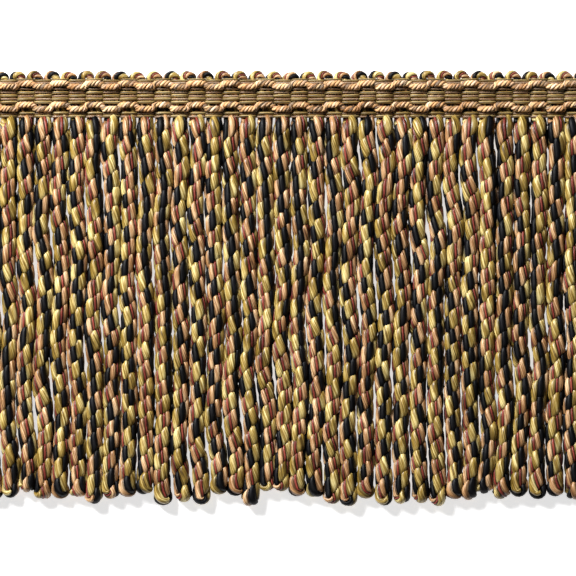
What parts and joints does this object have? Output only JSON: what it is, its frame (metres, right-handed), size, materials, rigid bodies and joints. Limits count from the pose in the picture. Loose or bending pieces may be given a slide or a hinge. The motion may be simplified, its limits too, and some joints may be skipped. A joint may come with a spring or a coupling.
{
  "type": "cord fringe trim",
  "caption": "Bullion fringe trim: folded and twisted cords hanging from a woven gimp heading with looped top edge, lying flat.",
  "frame": {"origin": "under the middle of the trim, on the surface it lies on", "axes": "+X along the trim, +Y towards the top edge of the heading, +Z out of the trim's face"},
  "size_m": [0.2142, 0.152, 0.0054],
  "materials": {
    "heading_yarn": "woven warp yarns in gold and peach, satin sheen",
    "gimp_cord": "fine twisted peach-gold cord, soft sheen",
    "bullion_cord": "satin rayon plies in gold, peach, dusty red and black"
  },
  "bodies": {
    "root": {"heading_band": "heading_yarn", "gimp_cord_upper": "gimp_cord", "gimp_cord_lower": "gimp_cord", "edge_loops": "bullion_cord", "bullion_fringe": "bullion_cord"}
  },
  "joints": []
}
